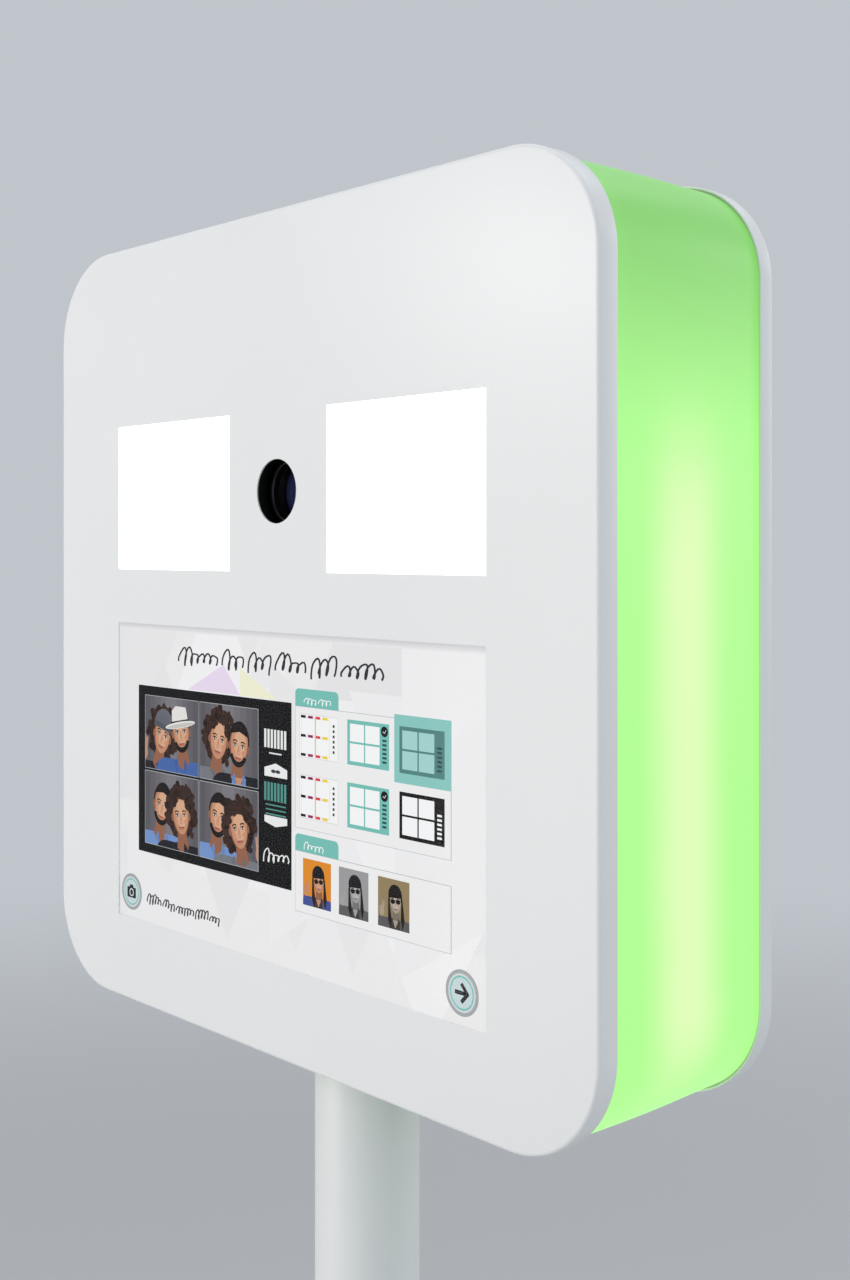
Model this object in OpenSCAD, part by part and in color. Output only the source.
// Photo booth on a round column: a square lit head with a touch screen, a camera between two
// light windows, a hinged service door at the back, and a weighted base on levelling feet.
// Frame: millimetres, +Z up, the front faces -Y, origin on the floor under the column's centre.

/* [Head] */
// Width of the head
head_w = 680; // [640:5:760]
// Height of the head
head_h = 685; // [640:5:780]
// Depth of the head, front face to rear face
head_d = 194; // [186:2:240]
// Height of the head's underside above the floor
head_lift = 1015; // [800:5:1150]
// Corner radius of the head, seen from the front
corner_r = 80; // [50:5:110]
// Depth of the front panel's folded rim
front_rim = 19; // [15:1:28]
// Depth of the rear panel's folded rim
rear_rim = 15; // [13:1:28]
// Thickness of the sheet steel
sheet_t = 1.5; // [1:0.1:2.4]

/* [Light band] */
// Thickness of the translucent band
band_t = 3; // [2:0.5:5]
// How far the band's surface lies inside the rims
band_inset = 3; // [2.6:0.1:6]
// How far the band reaches into each rim
band_tuck = 10; // [6:1:12]

/* [Front openings] */
// Width of each light window
win_w = 174; // [130:2:186]
// Height of each light window
win_h = 130; // [100:2:150]
// Space between the two light windows
win_gap = 128; // [118:2:150]
// Diameter of the lens opening
lens_hole_d = 52; // [44:1:60]
// Depth of the lens centre below the head's top
eye_drop = 228; // [205:1:240]
// Width of the screen opening
screen_w = 476; // [420:2:500]
// Height of the screen opening
screen_h = 268; // [230:2:270]
// Depth of the screen's top edge below the head's top
screen_drop = 342; // [340:1:352]

/* [Service door] */
// Width of the door
door_w = 460; // [380:5:500]
// Height of the door
door_h = 420; // [360:5:430]
// Corner radius of the door
door_r = 12; // [6:1:30]
// Gap all round the door
door_gap = 2.5; // [1.5:0.5:4]
// Height of the door's centre below the head's centre
door_drop = 30; // [20:1:40]

/* [Camera] */
// Width of the camera body
cam_w = 128; // [116:1:134]
// Height of the camera body, without the prism hump
cam_h = 78; // [70:1:84]
// Depth of the camera body, without the grip
cam_d = 46; // [40:1:52]
// Length of the lens
lens_len = 62; // [58:1:66]
// Radius of the lens barrel
lens_r = 28; // [25:0.5:30]
// Gap between the front panel and the lens
lens_setback = 12.5; // [11:0.5:16]

/* [Electronics] */
// Width and height of the small computer
pc_w = 150; // [120:5:180]
// Depth of the small computer
pc_d = 38; // [30:1:50]
// Width of the power supply
psu_w = 170; // [140:5:190]
// Height of the power supply
psu_h = 96; // [80:1:110]
// Depth of the power supply
psu_d = 44; // [36:1:50]
// Size of the square fan
fan_w = 80; // [70:5:92]
// Depth of the fan
fan_d = 25; // [20:1:30]

/* [Stand] */
// Outside diameter of the column
column_d = 88.9; // [76:0.1:100]
// Wall of the column
column_t = 3; // [2:0.5:5]
// Width of the base
base_w = 560; // [480:10:640]
// Depth of the base
base_d = 460; // [400:10:560]
// Corner radius of the base
base_r = 60; // [30:5:110]
// Height of the base cover
cover_h = 30; // [28:1:50]
// Thickness of the ballast plate
ballast_t = 10; // [8:1:14]
// Diameter of a foot pad
foot_d = 50; // [40:1:60]
// Height of the ballast plate's underside above the floor
foot_h = 14; // [14:1:20]

/* [Clearances] */
// Clearance between pieces that are fixed beside each other
slip = 0.3; // [0.2:0.05:0.6]
// Radial clearance of a turning or sliding fit
run = 0.05; // [0.02:0.01:0.08]

/* [Hidden] */
$fn = 64;

// Places along the depth of the head
y_front = -head_d / 2;
y_rear = head_d / 2;
y_front_in = y_front + sheet_t;
y_rear_in = y_rear - sheet_t;

// Heights
head_top = head_lift + head_h;
head_cz = head_lift + head_h / 2;
eye_z = head_top - eye_drop;
screen_cz = head_top - screen_drop - screen_h / 2;
door_cz = head_cz - door_drop;
door_top = door_cz + door_h / 2;
door_bottom = door_cz - door_h / 2;
cover_z = foot_h;
cover_top = cover_z + cover_h;
plate_top = foot_h + ballast_t;

// Light band
band_w = head_w - 2 * band_inset;
band_h = head_h - 2 * band_inset;
band_r = corner_r - band_inset;
band_y0 = y_front + front_rim - band_tuck;
band_y1 = y_rear - rear_rim + band_tuck;
seal_lip = 2;
band_seam = 1;
column_hole_d = column_d + 4;

// Chassis
tube_w = 30;
tube_t = 2;
rail_t = 4;
rail_h = 40;
flange_t = 6;
flange_gap = 2;
flange_z = head_lift + band_inset + band_t + flange_gap;
rail_z = flange_z + flange_t;
// The rail's ends stay inside the band's round corners
rail_drop = corner_r + head_lift - rail_z;
rail_reach = head_w / 2 - corner_r + sqrt(pow(band_r - band_t, 2) - pow(rail_drop, 2)) - 3;
upright_x = rail_reach - tube_w / 2;
top_rail_z = head_top - 75;
strap_t = 3;
strap_w = 25;
strap_foot = 25;
strap_z = [rail_z + rail_h + 15, top_rail_z - 45];
strap_screw_d = 5;
glow_w = 16;
glow_d = 8;
glow_end = 20;
glow_pitch = 33;
tape_w = 10;
tape_t = 0.8;

// Column joints
top_bolt_d = 8;
top_nut_w = 13;
top_nut_h = 5.3;
top_bolt_pcd = column_d + 19.1;
top_flange_d = top_bolt_pcd + 40;
base_bolt_d = 10;
base_nut_w = 17;
base_nut_h = 6.4;
base_bolt_pcd = column_d + 47.1;
base_flange_d = base_bolt_pcd + 34;
base_flange_t = 8;
collar_h = 6;
collar_w = 16;

// The rail is as wide as its bolts' nuts need between its walls
rail_d = top_bolt_pcd * cos(45) + top_nut_w / cos(30) + 2 * (rail_t + slip);

// Display stack, measured back from the front face
glass_y = y_front + 2.3;
glass_t = 2;
glass_lap = 14;
lcd_t = 10;
lcd_border = 10;
frame_t = 2;
housing_d = 25;
clamp_t = 1.5;
clamp_w = 30;

// Light boxes
win_x = win_gap / 2 + win_w / 2;
diffuser_t = 3;
diffuser_lap = 8;
box_wall = 1;
box_lip = 6;
box_d = 46;
board_t = 1.6;
chip_w = 5;
chip_h = 1.2;
chip_cols = 6;
chip_rows = 4;

// Camera and its mount
shroud_r = 42;
shroud_t = 2;
shroud_len = 36;
lens_y = y_front_in + lens_setback;
body_y = lens_y + lens_len;
axis_h = 42;
body_z = eye_z - axis_h;
cradle_t = 4;
cradle_w = 80;
pivot_drop = 14;
pivot_y = body_y + cam_d / 2;
pivot_z = body_z - cradle_t - pivot_drop;
pin_d = 6;
knob_r = 9;
knob_len = 11;
ear_x = 17;
ear_t = 3;
ear_r = 8;
yoke_base_t = 3;
yoke_floor = pivot_z - ear_r - 3;
shelf_z = yoke_floor - yoke_base_t;
shelf_t = 2;
shelf_d = 70;
shelf_lip = 24;
ring_gap = 1;
flange_r = lens_r + 3;
zoom_len = 24;
focus_len = 10;
rear_flange = 8;
front_flange = 9;
zoom_r = lens_r + 5.5;
focus_r = lens_r + 3.5;
ridge_r = 1;
glass_setback = 14;
glass_dome_r = 40;
glass_thick = 8;
cam_r = 10;
grip_w = cam_w / 2 - zoom_r - 1.5;
grip_d = 18;
grip_x = grip_w / 2 - cam_w / 2;
grip_top = body_z + cam_h - 7;
hump_w = 64;
hump_top_w = 40;
hump_h = 20;
hump_inset = 4;
cam_screen = [66, 46];
button_d = 9;
button_len = 6.5;
button_sunk = 4;
button_y = body_y - grip_d / 2 + 2;
dial_d = 18;
dial_h = 6;
dial_x = cam_w / 2 - 16;
spindle_d = 5;
spindle_len = 6;

// Electronics
plate_t = 2;
equip_y = -tube_w / 2;
plate_z0 = rail_z + rail_h + 12;
plate_z1 = shelf_z - 25;
pc_x = -115;
psu_x = 110;
equip_cz = (plate_z0 + plate_z1) / 2;
pc_button_d = 10;
pc_button_travel = 1.2;
fan_z = (door_top + head_top) / 2;
fan_bore = fan_w - 6;
fan_hub_d = 34;
fan_blades = 7;
blade_t = 1.6;
blade_pitch = 38;
blade_reach = 18;
fan_arm_t = 3;
fan_shaft_r = 2;
inlet_x = 200;
inlet_z = (head_lift + door_bottom) / 2;
inlet_w = 44;
inlet_h = 26;
inlet_d = 26;
socket_w = 25;
socket_h = 17;
socket_d = 15;
switch_x = 130;
switch_w = 30;
switch_h = 25;
switch_d = 18;
switch_wall = 2;
rocker_w = 22;
rocker_h = 17;
rocker_swing = 8;
rocker_y = y_rear - 3;
rocker_pin_r = 1.5;
bezel_w = 3;
bezel_t = 2;

// Routes of the cables
screen_route = [
  [0, -55.7, 1330], [0, -45, 1330], [0, -16, 1343], [0, 8, 1334], [-6, 14, 1290], [-12, 12, 1220],
  [-14, 10, 1160], [-40, 4, 1122], [-74, 1, 1118], [-90, 0.5, 1134], [-91, 0.5, 1152]];
inlet_route = [
  [190, 71, 1066.25], [190, 64, 1066.25], [162, 58, 1060], [135, 68, 1066.25], [135, 79, 1066.25]];
supply_route = [
  [125, 79, 1066.25], [125, 70, 1066.25], [128, 42, 1092], [140, 20, 1116], [150, 10, 1138], [150, 10, 1159]];

// Door fittings
lap = 10;
ledge_t = 1.5;
hinge_x = -(door_w + door_gap) / 2;
hinge_h = 60;
hinge_r = 4;
hinge_pin_r = 2;
leaf_w = 22;
leaf_t = 1.5;
hinge_zs = [door_cz - door_h / 2 + 60, door_cz + door_h / 2 - 60];
hinge_y = y_rear + hinge_r;
lock_x = door_w / 2 - 24;
lock_d = 18;
plug_d = 12;
lock_flange_d = 24;
lock_body = 12;
lock_nut = 4;
keeper_h = 40;
tongue_t = 2.5;
tongue_w = 14;
tongue_len = 34;
stiff_w = 22;
stiff_d = 12;

// Feet
stud_d = 10;
stud_len = 26;
pad_h = 10;
spanner_w = 14;
spanner_h = 3;
foot_nut_w = 17;
foot_nut_h = 8;
foot_inset = 50;
foot_x = base_w / 2 - foot_inset;
foot_y = base_d / 2 - foot_inset;

// ---------- shared shapes ----------

// A flat shape drawn in X and Z, given a thickness from y0 to y1
module slab(y0, y1) {
  translate([0, y1, 0]) rotate([90, 0, 0]) linear_extrude(y1 - y0) children();
}

// A rectangle with true round corners
module rrect(w, h, r) {
  square([w - 2 * r, h], center = true);
  square([w, h - 2 * r], center = true);
  for (sx = [-1, 1], sy = [-1, 1])
    translate([sx * (w / 2 - r), sy * (h / 2 - r)]) circle(r);
}

// A round bar along Y
module rod_y(r, y0, y1) {
  translate([0, y1, 0]) rotate([90, 0, 0]) cylinder(r = r, h = y1 - y0);
}

// A round bar along X
module rod_x(r, x0, x1) {
  translate([x0, 0, 0]) rotate([0, 90, 0]) cylinder(r = r, h = x1 - x0);
}

// A box from two opposite corners
module brick(a, b) {
  translate(a) cube(b - a);
}

// A regular hexagonal prism, measured across its flats
module hexagon(flats, h) {
  cylinder(d = flats / cos(30), h = h, $fn = 6);
}

// A folded sheet pan with its face at y = 0 and its rim reaching to y = depth
module pan(w, h, r, depth) {
  slab(0, sheet_t) rrect(w, h, r);
  slab(sheet_t, depth) difference() {
    rrect(w, h, r);
    rrect(w - 2 * sheet_t, h - 2 * sheet_t, r - sheet_t);
  }
}

// A rectangular tube along X
module box_tube_x(w, t, x0, x1) {
  difference() {
    brick([x0, -w / 2, -w / 2], [x1, w / 2, w / 2]);
    brick([x0 - 1, t - w / 2, t - w / 2], [x1 + 1, w / 2 - t, w / 2 - t]);
  }
}

// The same piece on the right and, mirrored, on the left
module both_sides() {
  children();
  mirror([1, 0, 0]) children();
}

// ---------- head shell ----------

module front_panel() {
  color("white") difference() {
    translate([0, y_front, head_cz]) pan(head_w, head_h, corner_r, front_rim);
    for (s = [-1, 1]) translate([s * win_x, 0, eye_z])
      slab(y_front - 1, y_front_in + 1) square([win_w, win_h], center = true);
    translate([0, 0, eye_z]) rod_y(lens_hole_d / 2, y_front - 1, y_front_in + 1);
    translate([0, 0, screen_cz])
      slab(y_front - 1, y_front_in + 1) square([screen_w, screen_h], center = true);
  }
}

module side_band() {
  color("palegreen") difference() {
    translate([0, 0, head_cz]) slab(band_y0, band_y1) difference() {
      rrect(band_w, band_h, band_r);
      rrect(band_w - 2 * band_t, band_h - 2 * band_t, band_r - band_t);
    }
    translate([0, 0, head_lift]) cylinder(d = column_hole_d, h = 3 * band_t);
    brick([-band_seam / 2, band_y0 - 1, head_lift], [band_seam / 2, band_y1 + 1, head_lift + 3 * band_t]);
  }
}

module band_seal(y0, y1) {
  translate([0, 0, head_cz]) slab(y0, y1) difference() {
    rrect(head_w - 2 * sheet_t, head_h - 2 * sheet_t, corner_r - sheet_t);
    rrect(band_w, band_h, band_r);
  }
}

module band_seals() {
  color("lightgray") {
    band_seal(band_y0, y_front + front_rim - seal_lip);
    band_seal(y_rear - rear_rim + seal_lip, band_y1);
  }
}

module fan_grille() {
  // arcs of slots round a solid middle, with four spokes left between them
  for (k = [1:3]) difference() {
    circle(k * fan_bore / 6 - 2);
    circle(k * fan_bore / 6 - 8);
    for (a = [45, 135]) rotate(a) square([fan_bore, 5], center = true);
  }
}

// The rear pan, with the ledge that the closed door rests on and the lock's keeper welded inside
module rear_panel() {
  color("white") {
    rear_pan();
    door_ledge();
    brick([door_w / 2 - lap + 2, y_rear - lock_body + slip, door_cz - keeper_h / 2],
          [door_w / 2, y_rear_in - ledge_t, door_cz + keeper_h / 2]);
  }
}

module rear_pan() {
  difference() {
    translate([0, y_rear, head_cz]) mirror([0, 1, 0]) pan(head_w, head_h, corner_r, rear_rim);
    translate([0, 0, door_cz]) slab(y_rear_in - 1, y_rear + 1)
      rrect(door_w + 2 * door_gap, door_h + 2 * door_gap, door_r + door_gap);
    translate([0, 0, fan_z]) slab(y_rear_in - 1, y_rear + 1) fan_grille();
    translate([inlet_x, 0, inlet_z]) slab(y_rear_in - 1, y_rear + 1)
      square([inlet_w + 2 * slip, inlet_h + 2 * slip], center = true);
    translate([switch_x, 0, inlet_z]) slab(y_rear_in - 1, y_rear + 1)
      square([switch_w + 2 * slip, switch_h + 2 * slip], center = true);
    strap_places() rod_y(strap_screw_d / 2 + slip, y_rear_in - 1, y_rear + 1);
  }
}

module door_ledge() {
  translate([0, 0, door_cz]) slab(y_rear_in - ledge_t, y_rear_in) difference() {
    rrect(door_w + 2 * (door_gap + lap), door_h + 2 * (door_gap + lap), door_r + door_gap);
    rrect(door_w - 2 * lap, door_h - 2 * lap, door_r);
  }
}

// ---------- service door ----------

module rear_door() {
  color("white") difference() {
    translate([0, 0, door_cz]) slab(y_rear_in, y_rear) difference() {
      rrect(door_w, door_h, door_r);
      for (col = [-1, 1], row = [0:7])
        translate([col * 60, 40 - door_h / 2 + row * 12]) rrect(80, 5, 2.4);
    }
    translate([lock_x, 0, door_cz]) rod_y(lock_d / 2 + slip, y_rear_in - 1, y_rear + 1);
  }
}

module door_stiffeners() {
  color("gainsboro") for (s = [-1, 1])
    translate([s * (door_w / 2 - 80), 0, door_cz - (door_h - 80) / 2]) linear_extrude(door_h - 80)
      difference() {
        translate([-stiff_w / 2, y_rear_in - stiff_d]) square([stiff_w, stiff_d]);
        translate([sheet_t - stiff_w / 2, y_rear_in - stiff_d + sheet_t])
          square([stiff_w - 2 * sheet_t, stiff_d]);
      }
}

// One of the three knuckles of a hinge, at a share of its height
module knuckle(k, bore_r) {
  translate([hinge_x, hinge_y, k * hinge_h / 3 + slip / 2]) difference() {
    cylinder(r = hinge_r, h = hinge_h / 3 - slip);
    translate([0, 0, -1]) cylinder(r = bore_r, h = hinge_h);
  }
}

// A hinge leaf from the knuckle's foot outwards to one side
module leaf(s, z0, z1) {
  difference() {
    brick([min(hinge_x, hinge_x + s * leaf_w), y_rear, z0],
          [max(hinge_x, hinge_x + s * leaf_w), y_rear + leaf_t, z1]);
    translate([hinge_x, hinge_y, -1]) cylinder(r = hinge_pin_r + 1, h = hinge_h + 2);
  }
}

// Blind countersinks in a leaf, at a fifth of its height from either end
module leaf_holes(s) {
  for (k = [0.2, 0.8]) translate([hinge_x + s * (leaf_w / 2 + 3), 0, k * hinge_h])
    rod_y(2, y_rear + leaf_t / 2, y_rear + leaf_t + 1);
}

module hinge_panel_leaves() {
  color("silver") for (z = hinge_zs) translate([0, 0, z - hinge_h / 2]) difference() {
    union() {
      for (k = [0, 2]) {
        knuckle(k, hinge_pin_r);
        leaf(-1, k * hinge_h / 3 + slip / 2, (k + 1) * hinge_h / 3 - slip / 2);
      }
      brick([hinge_x - leaf_w, y_rear, slip / 2],
            [hinge_x - hinge_r - slip, y_rear + leaf_t, hinge_h - slip / 2]);
    }
    leaf_holes(-1);
  }
}

module hinge_door_leaves() {
  color("silver") for (z = hinge_zs) translate([0, 0, z - hinge_h / 2]) difference() {
    union() {
      knuckle(1, hinge_pin_r + run);
      leaf(1, hinge_h / 3 + slip / 2, 2 * hinge_h / 3 - slip / 2);
      brick([hinge_x + hinge_r + slip, y_rear, slip / 2],
            [hinge_x + leaf_w, y_rear + leaf_t, hinge_h - slip / 2]);
    }
    leaf_holes(1);
  }
}

module hinge_pins() {
  color("silver") for (z = hinge_zs) translate([hinge_x, hinge_y, z - hinge_h / 2 + slip / 2]) {
    cylinder(r = hinge_pin_r, h = hinge_h - slip);
  }
}

module lock_barrel() {
  color("silver") translate([lock_x, 0, door_cz]) difference() {
    union() {
      rod_y(lock_flange_d / 2, y_rear, y_rear + 2);
      rod_y(lock_d / 2, y_rear - lock_body, y_rear);
      rod_y(lock_flange_d / 2, y_rear_in - lock_nut, y_rear_in);
    }
    rod_y(plug_d / 2 + run, y_rear - lock_body - 1, y_rear + 3);
  }
}

// The lock's plug and tongue: the tongue stands upright when the lock is open
module lock_plug() {
  color("lightgray") translate([lock_x, 0, door_cz]) {
    difference() {
      rod_y(plug_d / 2, y_rear - lock_body - slip - tongue_t, y_rear + 2);
      brick([-1, y_rear - 4, -4], [1, y_rear + 3, 4]);
    }
    slab(y_rear - lock_body - slip - tongue_t, y_rear - lock_body - slip) {
      circle(plug_d / 2 + 1);
      translate([-tongue_w / 2, 0]) square([tongue_w, tongue_len - tongue_w / 2]);
      translate([0, tongue_len - tongue_w / 2]) circle(tongue_w / 2);
    }
  }
}

// ---------- chassis ----------

module bolt_circle(pcd) {
  for (a = [45:90:315]) rotate(a) translate([pcd / 2, 0, 0]) children();
}

// An upturned channel that the column's flange is bolted under
module chassis_channel() {
  difference() {
    brick([-rail_reach, -rail_d / 2, rail_z], [rail_reach, rail_d / 2, rail_z + rail_h]);
    brick([-rail_reach - 1, rail_t - rail_d / 2, rail_z + rail_t],
          [rail_reach + 1, rail_d / 2 - rail_t, rail_z + rail_h + 1]);
    bolt_circle(top_bolt_pcd) translate([0, 0, rail_z - 1])
      cylinder(d = top_bolt_d + 2 * slip, h = rail_t + 2);
  }
}

// The welded frame inside the head: channel, two uprights and a top rail
module chassis() {
  color("silver") {
    chassis_channel();
    both_sides() translate([upright_x, 0, rail_z + rail_t])
      linear_extrude(top_rail_z - rail_z - rail_t) difference() {
        square(tube_w, center = true);
        square(tube_w - 2 * tube_t, center = true);
      }
    translate([0, 0, top_rail_z + tube_w / 2]) box_tube_x(tube_w, tube_t, -rail_reach, rail_reach);
  }
}

// The places where a strap's foot meets the rear panel
module strap_places() {
  for (s = [-1, 1], z = strap_z)
    translate([s * (rail_reach + strap_foot / 2 + 2), 0, z]) children();
}

// Straps that tie the front panel, the uprights and the rear panel together
module panel_straps() {
  x0 = rail_reach;
  color("silver") difference() {
    both_sides() for (z = strap_z) translate([0, 0, z - strap_w / 2]) {
      brick([x0, y_front_in, 0], [x0 + strap_t, y_rear_in, strap_w]);
      brick([x0, y_front_in, 0], [x0 + strap_foot, y_front_in + strap_t, strap_w]);
      brick([x0, y_rear_in - strap_t, 0], [x0 + strap_foot, y_rear_in, strap_w]);
    }
    strap_places() rod_y(strap_screw_d / 2 + slip, y_rear_in - strap_t - 1, y_rear_in + 1);
  }
}

module panel_screws() {
  color("silver") strap_places() difference() {
    union() {
      rod_y(strap_screw_d / 2, y_rear - 12, y_rear);
      rod_y(strap_screw_d, y_rear, y_rear + 2.4);
    }
    translate([0, y_rear + 3, 0]) rotate([90, 0, 0]) hexagon(3, 2.2);
  }
}

// Channels that hold the light strips, facing the band
module glow_rails() {
  x0 = rail_reach;
  z0 = strap_z[0] + strap_w;
  z1 = strap_z[1] - strap_w;
  z2 = top_rail_z + tube_w;
  color("silver") {
    both_sides() difference() {
      brick([x0, -glow_w / 2, z0], [x0 + glow_d, glow_w / 2, z1]);
      brick([x0 + sheet_t, sheet_t - glow_w / 2, z0 - 1], [x0 + glow_d + 1, glow_w / 2 - sheet_t, z1 + 1]);
    }
    difference() {
      brick([glow_end - x0, -glow_w / 2, z2], [x0 - glow_end, glow_w / 2, z2 + glow_d]);
      brick([-x0, sheet_t - glow_w / 2, z2 + sheet_t], [x0, glow_w / 2 - sheet_t, z2 + glow_d + 1]);
    }
  }
}

// One strip of lights, lying along X from x0 to x1 on its carrier tape
module glow_strip(x0, x1) {
  count = floor((x1 - x0) / glow_pitch);
  brick([x0, -tape_w / 2, 0], [x1, tape_w / 2, tape_t]);
  for (k = [0:count - 1])
    translate([(x0 + x1) / 2 + (k - (count - 1) / 2) * glow_pitch, 0, tape_t])
      translate([-chip_w / 2, -chip_w / 2, 0]) cube([chip_w, chip_w, chip_h]);
}

module glow_strips() {
  z0 = strap_z[0] + strap_w + 4;
  z1 = strap_z[1] - strap_w - 4;
  color("ivory") {
    both_sides() translate([rail_reach + sheet_t, 0, 0]) rotate([0, 90, 0]) glow_strip(-z1, -z0);
    translate([0, 0, top_rail_z + tube_w + sheet_t])
      glow_strip(glow_end + 6 - rail_reach, rail_reach - glow_end - 6);
  }
}

// ---------- display ----------

module screen_slab(y0, y1, grow) {
  translate([0, 0, screen_cz]) slab(y0, y1) square([screen_w + 2 * grow, screen_h + 2 * grow], center = true);
}

module touch_glass() {
  color([0.6, 0.7, 0.75, 0.4]) screen_slab(glass_y, glass_y + glass_t, glass_lap);
}

module screen_gasket() {
  color("lightgray") difference() {
    screen_slab(y_front_in, glass_y, glass_lap);
    screen_slab(y_front_in - 1, glass_y + 1, 2);
  }
}

module lcd_panel() {
  y0 = glass_y + glass_t;
  color("whitesmoke") screen_slab(y0, y0 + lcd_t, lcd_border);
}

module monitor_frame() {
  y0 = glass_y + glass_t;
  color("dimgray") difference() {
    screen_slab(y0, y0 + lcd_t + frame_t, glass_lap);
    screen_slab(y0 - 1, y0 + lcd_t + slip, lcd_border + slip);
    screen_slab(y0 - 1, y0 + lcd_t + frame_t + 1, lcd_border - 4);
  }
}

module monitor_housing() {
  y0 = glass_y + glass_t + lcd_t + frame_t;
  color("dimgray") difference() {
    screen_slab(y0, y0 + housing_d, -10);
    screen_slab(y0 - 1, y0 + housing_d - 1.2, -11.2);
    for (k = [-9:9], s = [-1, 1]) translate([k * 20, 0, screen_cz + s * 85])
      slab(y0 + housing_d - 3, y0 + housing_d + 1) rrect(5, 50, 2.4);
  }
}

// Clamps that pull the monitor's frame against the front panel
module monitor_clamps() {
  y1 = glass_y + glass_t + lcd_t + frame_t;
  x0 = screen_w / 2 + glass_lap + slip;
  color("silver") both_sides() for (k = [-1, 1])
    translate([0, 0, screen_cz + k * screen_h / 3 - clamp_w / 2]) {
      brick([x0, y_front_in, 0], [x0 + clamp_t, y1 + clamp_t, clamp_w]);
      brick([x0, y_front_in, 0], [x0 + 16, y_front_in + clamp_t, clamp_w]);
      brick([x0 - 9, y1, 0], [x0 + clamp_t, y1 + clamp_t, clamp_w]);
    }
}

// ---------- flash lights ----------

// An opal plate behind the panel with a raised middle that fills the opening flush
module flash_window(s) {
  color("white") translate([s * win_x, 0, eye_z]) {
    slab(y_front_in, y_front_in + diffuser_t)
      square([win_w + 2 * diffuser_lap, win_h + 2 * diffuser_lap], center = true);
    slab(y_front, y_front_in) square([win_w - 2 * slip, win_h - 2 * slip], center = true);
  }
}

module flash_window_left() {
  flash_window(-1);
}

module flash_window_right() {
  flash_window(1);
}

// Open-fronted sheet boxes behind the light windows
module light_boxes() {
  w = win_w + 2 * (diffuser_lap + slip);
  h = win_h + 2 * (diffuser_lap + slip);
  color("gainsboro") both_sides() translate([win_x, 0, eye_z]) difference() {
    union() {
      slab(y_front_in, y_front_in + box_d) square([w + 2 * box_wall, h + 2 * box_wall], center = true);
      slab(y_front_in, y_front_in + box_wall)
        square([w + 2 * (box_wall + box_lip), h + 2 * (box_wall + box_lip)], center = true);
    }
    slab(y_front_in - 1, y_front_in + box_d - box_wall) square([w, h], center = true);
  }
}

// A board in each light box, with its rows of light chips
module led_boards() {
  y1 = y_front_in + box_d - box_wall;
  color("whitesmoke") both_sides() translate([win_x, 0, eye_z]) {
    slab(y1 - board_t, y1) square([win_w - 4, win_h - 4], center = true);
    for (i = [0:chip_cols - 1], j = [0:chip_rows - 1])
      translate([(i + 0.5) * win_w / chip_cols - win_w / 2, 0, (j + 0.5) * win_h / chip_rows - win_h / 2])
        slab(y1 - board_t - chip_h, y1 - board_t) square(chip_w, center = true);
  }
}

// A dark tube round the lens that keeps stray light out
module lens_shroud() {
  color("black") translate([0, 0, eye_z]) difference() {
    rod_y(shroud_r + shroud_t, y_front_in, y_front_in + shroud_len);
    rod_y(shroud_r, y_front_in - 1, y_front_in + shroud_len + 1);
  }
}

// ---------- camera and its mount ----------

module camera_shelf() {
  x1 = upright_x - tube_w / 2;
  y0 = pivot_y - shelf_d / 2;
  color("silver") {
    brick([-x1, y0, shelf_z - shelf_t], [x1, y0 + shelf_d, shelf_z]);
    both_sides() brick([x1 - shelf_t, y0, shelf_z - shelf_lip], [x1, y0 + shelf_d, shelf_z]);
  }
}

// A cheek with a rounded top round the pivot
module cheek(x0, x1, z0, bore_r) {
  difference() {
    union() {
      translate([0, pivot_y, pivot_z]) rod_x(ear_r, x0, x1);
      brick([x0, pivot_y - ear_r, z0], [x1, pivot_y + ear_r, pivot_z]);
    }
    translate([0, pivot_y, pivot_z]) rod_x(bore_r, x0 - 1, x1 + 1);
  }
}

module tilt_yoke() {
  x0 = ear_x + ear_t + 0.5;
  color("silver") {
    for (s = [-1, 1]) cheek(s > 0 ? x0 : -x0 - ear_t, s > 0 ? x0 + ear_t : -x0, yoke_floor, pin_d / 2 + run);
    brick([-x0 - ear_t, pivot_y - 20, shelf_z], [x0 + ear_t, pivot_y + 20, yoke_floor]);
  }
}

module camera_cradle() {
  color("dimgray") {
    brick([-cradle_w / 2, body_y + 4, body_z - cradle_t], [cradle_w / 2, body_y + cam_d, body_z]);
    for (x0 = [-ear_x - ear_t, ear_x]) difference() {
      union() {
        translate([0, pivot_y, pivot_z]) rod_x(ear_r, x0, x0 + ear_t);
        brick([x0, pivot_y - ear_r, pivot_z], [x0 + ear_t, pivot_y + ear_r, body_z - cradle_t]);
      }
      translate([0, pivot_y, pivot_z]) rod_x(pin_d / 2, x0 - 1, x0 + ear_t + 1);
    }
  }
}

module tilt_pin() {
  x1 = ear_x + 2 * ear_t + 0.5;
  color("lightgray") translate([0, pivot_y, pivot_z]) {
    rod_x(pin_d / 2, -x1 - 1, x1 + 12);
    rod_x(pin_d / 2 + 3, -x1 - 4, -x1 - 1);
  }
}

// A clamp knob with six lobes
module tilt_knob() {
  x0 = ear_x + 2 * ear_t + 1;
  color("black") translate([x0, pivot_y, pivot_z]) rotate([90, 0, 90]) linear_extrude(knob_len) difference() {
    union() {
      circle(knob_r);
      for (a = [0:60:300]) rotate(a) translate([knob_r - 1, 0]) circle(3);
    }
    circle(pin_d / 2 + run);
  }
}

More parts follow.
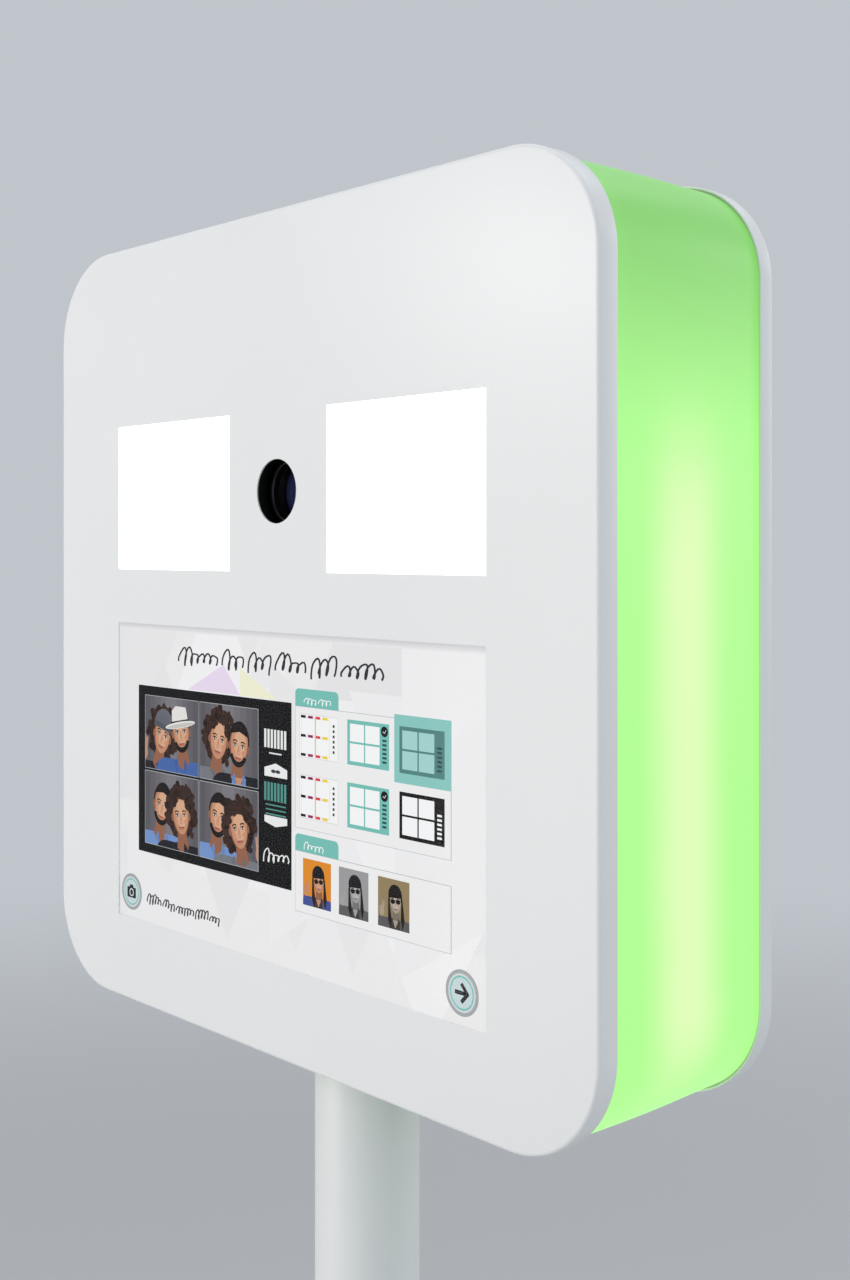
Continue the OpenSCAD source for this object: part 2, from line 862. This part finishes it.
module camera_body() {
  top = body_z + cam_h;
  mid = body_z + cam_h / 2;
  color([0.12, 0.12, 0.13]) difference() {
    union() {
      translate([0, 0, mid]) slab(body_y, body_y + cam_d) rrect(cam_w, cam_h, cam_r);
      // grip
      translate([grip_x, 0, (body_z + 1 + grip_top) / 2]) slab(body_y - grip_d, body_y + cam_r)
        rrect(grip_w, grip_top - body_z - 1, cam_r);
      // prism hump
      translate([0, body_y + cam_d - hump_inset, top - 2])
        rotate([90, 0, 0]) linear_extrude(cam_d - 2 * hump_inset)
          polygon([
            [-hump_w / 2, 0], [hump_w / 2, 0], [hump_top_w / 2, hump_h + 2], [-hump_top_w / 2, hump_h + 2]]);
    }
    // recess of the camera's own display
    translate([0, 0, mid - 4]) slab(body_y + cam_d - 1, body_y + cam_d + 1)
      rrect(cam_screen[0], cam_screen[1], 3);
    // guide bore of the shutter button
    translate([grip_x, button_y, grip_top - button_sunk - 5])
      cylinder(d = button_d + 2 * run, h = button_sunk + 10);
    // seat of the dial's spindle
    translate([dial_x, pivot_y, top - spindle_len - 2])
      cylinder(d = spindle_d + 2 * run, h = spindle_len + 4);
  }
}

module shutter_button() {
  color("gray") translate([grip_x, button_y, grip_top - button_sunk]) cylinder(d = button_d, h = button_len);
}

module mode_dial() {
  color("dimgray") translate([dial_x, pivot_y, body_z + cam_h]) {
    translate([0, 0, slip]) difference() {
      cylinder(d = dial_d, h = dial_h);
      for (a = [0:20:340]) rotate(a) translate([dial_d / 2, 0, -1])
        cylinder(r = 0.7, h = dial_h + 2, $fn = 16);
    }
    translate([0, 0, -spindle_len]) cylinder(d = spindle_d, h = spindle_len + slip + 0.5);
  }
}

// The fixed part of the lens: a barrel between two flanges, hollow at the front
module lens_barrel() {
  color([0.1, 0.1, 0.11]) translate([0, 0, eye_z]) difference() {
    union() {
      rod_y(lens_r, lens_y, body_y);
      rod_y(flange_r, body_y - rear_flange, body_y);
      rod_y(flange_r, lens_y, lens_y + front_flange);
    }
    rod_y(lens_r - 3, lens_y - 1, lens_y + glass_setback - 8);
    rod_y(lens_r - 6, lens_y - 1, lens_y + glass_setback);
  }
}

// The front element: a disc with a domed face
module lens_glass() {
  color([0.3, 0.35, 0.45, 0.5]) translate([0, lens_y + glass_setback, eye_z]) rotate([90, 0, 0])
    intersection() {
      cylinder(r = lens_r - 6 - slip, h = glass_thick + 2);
      translate([0, 0, glass_thick - glass_dome_r]) sphere(glass_dome_r, $fn = 96);
    }
}

// A ring that turns on the barrel, with grooves round its rim
module lens_ring(y0, len, r) {
  color([0.16, 0.16, 0.17]) translate([0, 0, eye_z]) difference() {
    rod_y(r, y0, y0 + len);
    rod_y(lens_r + run, y0 - 1, y0 + len + 1);
    for (a = [0:15:345]) rotate([0, a, 0]) translate([0, 0, r + 0.4 * ridge_r])
      rod_y(ridge_r, y0 + 2, y0 + len - 2);
  }
}

module zoom_ring() {
  lens_ring(body_y - rear_flange - ring_gap - zoom_len, zoom_len, zoom_r);
}

module focus_ring() {
  lens_ring(lens_y + front_flange + ring_gap, focus_len, focus_r);
}

// ---------- electronics ----------

module equipment_plate() {
  color("silver") difference() {
    brick([-rail_reach, equip_y - plate_t, plate_z0], [rail_reach, equip_y, plate_z1]);
    for (x = [-220, 0, 225]) translate([x, 0, plate_z1 - 30])
      slab(equip_y - plate_t - 1, equip_y + 1) rrect(50, 24, 11);
  }
}

module computer() {
  color([0.2, 0.2, 0.22]) translate([pc_x, 0, equip_cz]) difference() {
    slab(equip_y, equip_y + pc_d) rrect(pc_w, pc_w, 8);
    for (k = [-4:4]) translate([k * 8, 0, 24])
      slab(equip_y + pc_d - 1.5, equip_y + pc_d + 1) rrect(4, 50, 1.9);
    translate([pc_w / 2 - 16, 0, 16 - pc_w / 2])
      rod_y(pc_button_d / 2 + run, equip_y + pc_d - 6, equip_y + pc_d + 1);
    // sockets on the underside
    for (k = [-2:1])
      brick([k * 24 - 7, equip_y + 12, -pc_w / 2 - 1], [k * 24 + 7, equip_y + 19, 9 - pc_w / 2]);
  }
}

module pc_button() {
  color("silver") translate([pc_x + pc_w / 2 - 16, 0, equip_cz + 16 - pc_w / 2])
    rod_y(pc_button_d / 2, equip_y + pc_d - 6 + pc_button_travel + slip, equip_y + pc_d + pc_button_travel);
}

module power_supply() {
  color("lightgray") translate([psu_x, 0, equip_cz - 20]) difference() {
    slab(equip_y, equip_y + psu_d) square([psu_w, psu_h], center = true);
    for (i = [-5:5], j = [-3:3]) translate([i * 11, 0, j * 11])
      rod_y(2.6, equip_y + psu_d - 1.2, equip_y + psu_d + 1);
    // terminal bay at one end
    brick([psu_w / 2 - 14, equip_y + 10, -psu_h / 2 - 1],
          [psu_w / 2 + 1, equip_y + psu_d + 1, psu_h / 2 + 1]);
  }
}

module fan_housing() {
  y1 = y_rear_in;
  color([0.1, 0.1, 0.1]) translate([0, 0, fan_z]) difference() {
    slab(y1 - fan_d, y1) rrect(fan_w, fan_w, 5);
    difference() {
      rod_y(fan_bore / 2, y1 - fan_d - 1, y1 + 1);
      // motor carrier at the panel side, on four arms
      slab(y1 - fan_arm_t, y1) {
        circle(fan_hub_d / 2);
        for (a = [45, 135]) rotate(a) square([fan_bore + 2, 5], center = true);
      }
    }
    rod_y(fan_shaft_r + run, y1 - fan_arm_t - 1, y1 + 1);
    for (sx = [-1, 1], sz = [-1, 1]) translate([sx * (fan_w / 2 - 4.5), 0, sz * (fan_w / 2 - 4.5)])
      rod_y(2.1, y1 - fan_d - 1, y1 + 1);
  }
}

// Seven tilted blades round a hub, turning about Y
module fan_rotor() {
  y1 = y_rear_in - fan_arm_t - 0.5;
  color([0.15, 0.15, 0.15]) translate([0, 0, fan_z]) {
    rod_y(fan_hub_d / 2, y1 - blade_reach, y1);
    rod_y(fan_shaft_r, y1 - 1, y_rear_in - 0.5);
    intersection() {
      rod_y(fan_bore / 2 - 1.5, y1 - blade_reach, y1);
      for (k = [0:fan_blades - 1]) rotate([0, k * 360 / fan_blades, 0])
        translate([0, y1 - blade_reach / 2, fan_hub_d / 4 + fan_bore / 4])
          rotate([0, 0, blade_pitch]) cube([blade_t, blade_reach + 2, fan_bore / 2], center = true);
    }
  }
}

module mains_inlet() {
  color([0.1, 0.1, 0.1]) translate([inlet_x, 0, inlet_z]) {
    difference() {
      union() {
        slab(y_rear - inlet_d, y_rear + bezel_t) square([inlet_w, inlet_h], center = true);
        slab(y_rear, y_rear + bezel_t) rrect(inlet_w + 2 * bezel_w, inlet_h + 2 * bezel_w, 3);
      }
      slab(y_rear + bezel_t - socket_d, y_rear + bezel_t + 1) polygon([
        [-socket_w / 2, -socket_h / 2], [socket_w / 2, -socket_h / 2],
        [socket_w / 2, socket_h / 2 - 5], [socket_w / 2 - 5, socket_h / 2],
        [5 - socket_w / 2, socket_h / 2], [-socket_w / 2, socket_h / 2 - 5]]);
    }
    for (k = [-1:1]) translate([k * 7, 0, k == 0 ? 2.5 : -2])
      slab(y_rear + bezel_t - socket_d - 1, y_rear + bezel_t - 4) square([2, 5], center = true);
  }
}

// The rocker stands tipped one way; its other position is twice rocker_swing round
module power_rocker() {
  color("firebrick") translate([switch_x - rocker_w / 2, rocker_y, inlet_z]) rotate([rocker_swing, 0, 0]) {
    rotate([90, 0, 90]) linear_extrude(rocker_w) polygon([
      [-5, -4], [0, -rocker_h / 2], [6.5, -rocker_h / 2], [4, 0],
      [6.5, rocker_h / 2], [0, rocker_h / 2], [-5, 4]]);
    rod_x(rocker_pin_r, -2, rocker_w + 2);
  }
}

// The switch's case, which the rocker turns in
module switch_case() {
  color([0.1, 0.1, 0.1]) translate([switch_x, 0, inlet_z]) difference() {
    union() {
      slab(y_rear - switch_d, y_rear + bezel_t) square([switch_w, switch_h], center = true);
      slab(y_rear, y_rear + bezel_t) rrect(switch_w + 2 * bezel_w, switch_h + 2 * bezel_w, 3);
    }
    slab(y_rear - 13, y_rear + bezel_t + 1) square([rocker_w + 1, switch_h - 2 * switch_wall], center = true);
    translate([0, rocker_y, 0]) rod_x(rocker_pin_r + run, -rocker_w / 2 - 2.2, rocker_w / 2 + 2.2);
  }
}

// ---------- cables inside the head ----------

// A point on the smooth curve through four neighbouring points
function between(a, b, c, d, t) =
  (2 * b + t * (c - a) + t * t * (2 * a - 5 * b + 4 * c - d) + t * t * t * (3 * b - a - 3 * c + d)) / 2;

function last(p) = len(p) - 1;

function smooth(p, n) = concat(
  [for (i = [0:last(p) - 1], k = [0:n - 1])
    between(p[max(i - 1, 0)], p[i], p[i + 1], p[min(i + 2, last(p))], k / n)],
  [p[last(p)]]);

function unit(v) = v / norm(v);

// The direction of a path at its point i
function heading(p, i) = unit(p[min(i + 1, last(p))] - p[max(i - 1, 0)]);

// The corners of a ring with n sides round the point c, square to the direction t
function ring(c, t, r, n) =
  let (u = unit(cross(t, [1, 1, 1])), v = cross(t, u))
  [for (k = [0:n - 1]) c + r * (cos(k * 360 / n) * u + sin(k * 360 / n) * v)];

// A tube of radius r swept along a smooth curve through the points of p, its ends square to the route
module cable(p, r, n = 8) {
  path = smooth(p, 4);
  rings = len(path);
  ends = [unit(p[1] - p[0]), unit(p[last(p)] - p[last(p) - 1])];
  ways = [for (i = [0:rings - 1]) i == 0 ? ends[0] : i == rings - 1 ? ends[1] : heading(path, i)];
  polyhedron(
    points = [for (i = [0:rings - 1]) each ring(path[i], ways[i], r, n)],
    faces = concat(
      [[for (k = [0:n - 1]) k]],
      [[for (k = [n - 1:-1:0]) (rings - 1) * n + k]],
      [for (i = [0:rings - 2], k = [0:n - 1])
        [i * n + k, (i + 1) * n + k, (i + 1) * n + (k + 1) % n, i * n + (k + 1) % n]]));
}

module screen_cable() {
  color([0.1, 0.1, 0.1]) cable(screen_route, 3);
}

module mains_cables() {
  color([0.1, 0.1, 0.1]) {
    cable(inlet_route, 3.5);
    cable(supply_route, 3.5);
  }
}

// ---------- stand ----------

module column_tube() {
  color("white") translate([0, 0, plate_top]) difference() {
    cylinder(d = column_d, h = rail_z - plate_top);
    translate([0, 0, -1]) cylinder(d = column_d - 2 * column_t, h = rail_z);
  }
}

module flange(d, t, pcd, bolt_d) {
  difference() {
    cylinder(d = d, h = t);
    translate([0, 0, -1]) cylinder(d = column_d, h = t + 2);
    bolt_circle(pcd) translate([0, 0, -1]) cylinder(d = bolt_d + 2 * slip, h = t + 2);
  }
}

module column_flanges() {
  color("silver") {
    translate([0, 0, flange_z]) flange(top_flange_d, flange_t, top_bolt_pcd, top_bolt_d);
    translate([0, 0, plate_top]) flange(base_flange_d, base_flange_t, base_bolt_pcd, base_bolt_d);
  }
}

// Trim rings where the column meets the head and the base cover
module collars() {
  color("white") for (z = [head_lift + band_inset - collar_h, cover_top]) translate([0, 0, z]) difference() {
    cylinder(d = column_d + 2 * collar_w, h = collar_h);
    translate([0, 0, -1]) cylinder(d = column_d + 2 * slip, h = collar_h + 2);
  }
}

module base_cover() {
  color("white") translate([0, 0, cover_top]) rotate([-90, 0, 0]) difference() {
    pan(base_w, base_d, base_r, cover_h);
    rod_y(column_d / 2 + 1, -1, sheet_t + 1);
  }
}

module foot_places() {
  for (sx = [-1, 1], sy = [-1, 1]) translate([sx * foot_x, sy * foot_y, 0]) children();
}

// The heavy plate inside the base, which the cover's rim is fixed round
module ballast_plate() {
  color("gray") difference() {
    translate([0, 0, foot_h]) linear_extrude(ballast_t)
      rrect(base_w - 2 * sheet_t, base_d - 2 * sheet_t, base_r - sheet_t);
    foot_places() translate([0, 0, foot_h - 1]) cylinder(d = stud_d + 2 * run, h = ballast_t + 2);
    bolt_circle(base_bolt_pcd) translate([0, 0, foot_h - 1])
      cylinder(d = base_bolt_d + 2 * slip, h = ballast_t + 2);
  }
}

// The flange bolts and the nuts that carry the feet
module stand_fasteners() {
  color("silver") {
    bolt_circle(top_bolt_pcd) {
      translate([0, 0, flange_z]) cylinder(d = top_bolt_d, h = flange_t + rail_t);
      translate([0, 0, rail_z + rail_t]) hexagon(top_nut_w, top_nut_h);
    }
    bolt_circle(base_bolt_pcd) {
      translate([0, 0, foot_h]) cylinder(d = base_bolt_d, h = ballast_t + base_flange_t);
      translate([0, 0, plate_top + base_flange_t]) hexagon(base_nut_w, base_nut_h);
    }
    foot_places() translate([0, 0, plate_top]) difference() {
      hexagon(foot_nut_w, foot_nut_h);
      translate([0, 0, -1]) cylinder(d = stud_d + 2 * run, h = foot_nut_h + 2);
    }
  }
}

// A levelling foot: a pad, a spanner hexagon and a stud
module foot(sx, sy) {
  color("dimgray") translate([sx * foot_x, sy * foot_y, 0]) {
    cylinder(d = foot_d, h = pad_h / 3);
    translate([0, 0, pad_h / 3]) cylinder(d1 = foot_d, d2 = foot_d / 2, h = 2 * pad_h / 3);
    translate([0, 0, pad_h]) hexagon(spanner_w, spanner_h);
    translate([0, 0, pad_h]) cylinder(d = stud_d, h = stud_len + spanner_h);
  }
}

module foot_front_left() {
  foot(-1, -1);
}

module foot_front_right() {
  foot(1, -1);
}

module foot_rear_left() {
  foot(-1, 1);
}

module foot_rear_right() {
  foot(1, 1);
}

front_panel();
side_band();
rear_panel();
band_seals();
rear_door();
door_stiffeners();
hinge_panel_leaves();
hinge_door_leaves();
hinge_pins();
lock_barrel();
lock_plug();
chassis();
panel_straps();
panel_screws();
glow_rails();
glow_strips();
touch_glass();
screen_gasket();
lcd_panel();
monitor_frame();
monitor_housing();
monitor_clamps();
flash_window_left();
flash_window_right();
light_boxes();
led_boards();
lens_shroud();
camera_shelf();
tilt_yoke();
camera_cradle();
tilt_pin();
tilt_knob();
camera_body();
lens_barrel();
lens_glass();
zoom_ring();
focus_ring();
shutter_button();
mode_dial();
equipment_plate();
computer();
pc_button();
power_supply();
screen_cable();
mains_cables();
fan_housing();
fan_rotor();
mains_inlet();
switch_case();
power_rocker();
column_tube();
column_flanges();
collars();
base_cover();
ballast_plate();
stand_fasteners();
foot_front_left();
foot_front_right();
foot_rear_left();
foot_rear_right();
